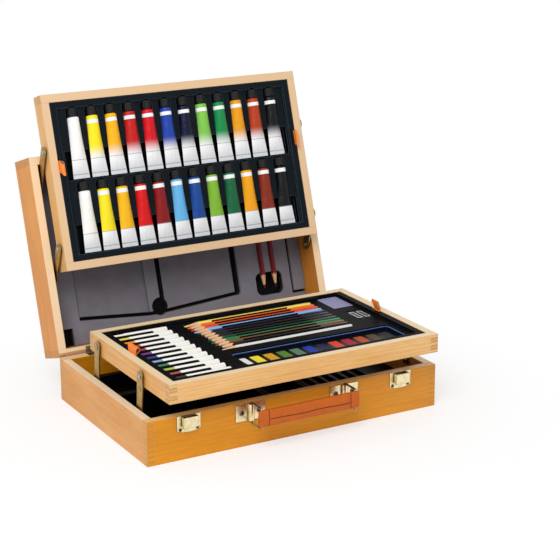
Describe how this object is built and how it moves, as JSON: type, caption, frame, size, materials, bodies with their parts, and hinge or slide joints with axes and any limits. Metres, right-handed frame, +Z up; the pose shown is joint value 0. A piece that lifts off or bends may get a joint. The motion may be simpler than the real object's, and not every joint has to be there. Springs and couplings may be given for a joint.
{
  "type": "art supply box",
  "caption": "Open wooden art case with a hinged lid, two swinging trays on links filled with paints, pastels and pencils, sprung latches and a leather carry handle.",
  "frame": {"origin": "middle of the base's underside", "axes": "+X to the right seen from the handle side, +Y towards the hinges, +Z up"},
  "size_m": [0.385, 0.4032, 0.3658],
  "materials": {
    "varnished_wood": "honey-varnished wood, satin",
    "tray_wood": "pale varnished wood",
    "panel_wood": "thin sheet of plywood",
    "black_liner": "thin formed plastic sheet, glossy black",
    "grey_liner": "thin formed plastic sheet, flocked grey",
    "slate_liner": "thin formed plastic sheet, slate",
    "brass_fittings": "pale gold plate",
    "link_brass": "dull brass",
    "rivet_steel": "grey steel",
    "dark_steel": "dark steel",
    "ring_wire": "bright plated wire",
    "handle_leather": "orange-brown leather",
    "tab_leather": "orange leather",
    "pastel": "wax sticks in white paper sleeves, painted in many colours",
    "pencil_wood": "lacquered wood in many colours",
    "pan_plastic": "blue plastic",
    "paint": "dry paint cakes in many colours",
    "eraser_rubber": "soft violet-blue rubber",
    "sharpener_black": "black metal",
    "tube_skin": "white tubes with coloured bands",
    "cap_black": "black caps"
  },
  "bodies": {
    "base": {"base_front_wall": "varnished_wood", "base_rear_wall": "varnished_wood", "base_left_wall": "varnished_wood", "base_right_wall": "varnished_wood", "base_bottom_panel": "panel_wood", "base_liner": "black_liner", "base_hinge_leaves": "link_brass", "hinge_pins": "rivet_steel", "base_link_pins": "rivet_steel", "latch_plates": "brass_fittings", "latch_pins": "rivet_steel", "latch_springs": "rivet_steel", "handle_brackets": "brass_fittings", "base_screws": "dark_steel"},
    "lid": {"lid_front_wall": "varnished_wood", "lid_rear_wall": "varnished_wood", "lid_left_wall": "varnished_wood", "lid_right_wall": "varnished_wood", "lid_top_panel": "panel_wood", "lid_liner": "grey_liner", "lid_hinge_leaves": "link_brass", "lid_screws": "dark_steel", "lid_link_pins": "rivet_steel", "latch_strikes": "brass_fittings", "lid_pencils": "pencil_wood"},
    "lower_rear_links": {"lower_rear_links": "link_brass"},
    "lower_front_links": {"lower_front_links": "link_brass"},
    "lower_tray": {"lower_tray_front_wall": "tray_wood", "lower_tray_rear_wall": "tray_wood", "lower_tray_left_wall": "tray_wood", "lower_tray_right_wall": "tray_wood", "lower_tray_bottom": "panel_wood", "lower_tray_liner": "black_liner", "lower_tray_link_pins": "rivet_steel", "lower_tray_pull_tabs": "tab_leather", "oil_pastels": "pastel", "coloured_pencils": "pencil_wood", "pan_box": "pan_plastic", "paint_pans": "paint", "eraser": "eraser_rubber", "sharpener": "sharpener_black", "sharpener_blades": "rivet_steel"},
    "upper_rear_links": {"upper_rear_links": "link_brass"},
    "upper_front_links": {"upper_front_links": "link_brass"},
    "upper_tray": {"upper_tray_front_wall": "tray_wood", "upper_tray_rear_wall": "tray_wood", "upper_tray_left_wall": "tray_wood", "upper_tray_right_wall": "tray_wood", "upper_tray_bottom": "panel_wood", "upper_tray_liner": "slate_liner", "upper_tray_link_pins": "rivet_steel", "upper_tray_pull_tabs": "tab_leather", "acrylic_tubes": "tube_skin", "watercolour_tubes": "tube_skin", "tube_caps": "cap_black"},
    "latch_lever_left": {"latch_lever_left": "brass_fittings"},
    "latch_lever_right": {"latch_lever_right": "brass_fittings"},
    "handle_ring_left": {"handle_ring_left": "ring_wire"},
    "handle_ring_right": {"handle_ring_right": "ring_wire"},
    "handle_grip": {"handle_grip": "handle_leather"}
  },
  "joints": [
    {"name": "lid_hinge", "type": "hinge", "parent": "base", "child": "lid", "pos_m": [0, 0.124, 0.053], "axis": [1, 0, 0], "range_deg": [0, 60]},
    {"name": "lower_tray_swing", "type": "hinge", "parent": "base", "child": "lower_rear_links", "pos_m": [0, 0.03982, 0.048], "axis": [-1, 0, 0], "range_deg": [0, 104]},
    {"name": "lower_front_link_swing", "type": "hinge", "parent": "base", "child": "lower_front_links", "pos_m": [0, -0.07918, 0.048], "axis": [-1, 0, 0], "range_deg": [0, 104]},
    {"name": "lower_tray_level", "type": "hinge", "parent": "lower_rear_links", "child": "lower_tray", "pos_m": [0, 0.03675, 0.09189], "axis": [-1, 0, 0], "range_deg": [-104, 0]},
    {"name": "upper_tray_swing", "type": "hinge", "parent": "lid", "child": "upper_rear_links", "pos_m": [0, 0.16333, 0.13717], "axis": [1, 0, 0], "range_deg": [0, 142]},
    {"name": "upper_front_link_swing", "type": "hinge", "parent": "lid", "child": "upper_front_links", "pos_m": [0, 0.19911, 0.25066], "axis": [1, 0, 0], "range_deg": [0, 142]},
    {"name": "upper_tray_level", "type": "hinge", "parent": "upper_rear_links", "child": "upper_tray", "pos_m": [0, 0.14582, 0.184], "axis": [1, 0, 0], "range_deg": [-142, 0]},
    {"name": "latch_left_release", "type": "hinge", "parent": "base", "child": "latch_lever_left", "pos_m": [-0.141, -0.1282, 0.0425], "axis": [1, 0, 0], "range_deg": [0, 30], "stiffness_Nm_per_rad": 0.05, "springref_deg": -17.19},
    {"name": "latch_right_release", "type": "hinge", "parent": "base", "child": "latch_lever_right", "pos_m": [0.141, -0.1282, 0.0425], "axis": [1, 0, 0], "range_deg": [0, 30], "stiffness_Nm_per_rad": 0.05, "springref_deg": -17.19},
    {"name": "handle_swing", "type": "hinge", "parent": "base", "child": "handle_ring_left", "pos_m": [-0.063, -0.127, 0.0415], "axis": [0, 0, 1], "range_deg": [-68, 68]},
    {"name": "handle_ring_right_swing", "type": "hinge", "parent": "base", "child": "handle_ring_right", "pos_m": [0.062, -0.127, 0.0415], "axis": [0, 0, 1], "range_deg": [-68, 68]},
    {"name": "handle_grip_turn", "type": "hinge", "parent": "handle_ring_left", "child": "handle_grip", "pos_m": [-0.063, -0.152, 0.0415], "axis": [0, 0, 1], "range_deg": [-68, 68]}
  ],
  "couplings": [
    {"joint": "lower_front_link_swing", "follows": "lower_tray_swing", "ratio": 1},
    {"joint": "lower_tray_level", "follows": "lower_tray_swing", "ratio": -1},
    {"joint": "upper_front_link_swing", "follows": "upper_tray_swing", "ratio": 1},
    {"joint": "upper_tray_level", "follows": "upper_tray_swing", "ratio": -1},
    {"joint": "handle_ring_right_swing", "follows": "handle_swing", "ratio": 1},
    {"joint": "handle_grip_turn", "follows": "handle_swing", "ratio": -1}
  ]
}
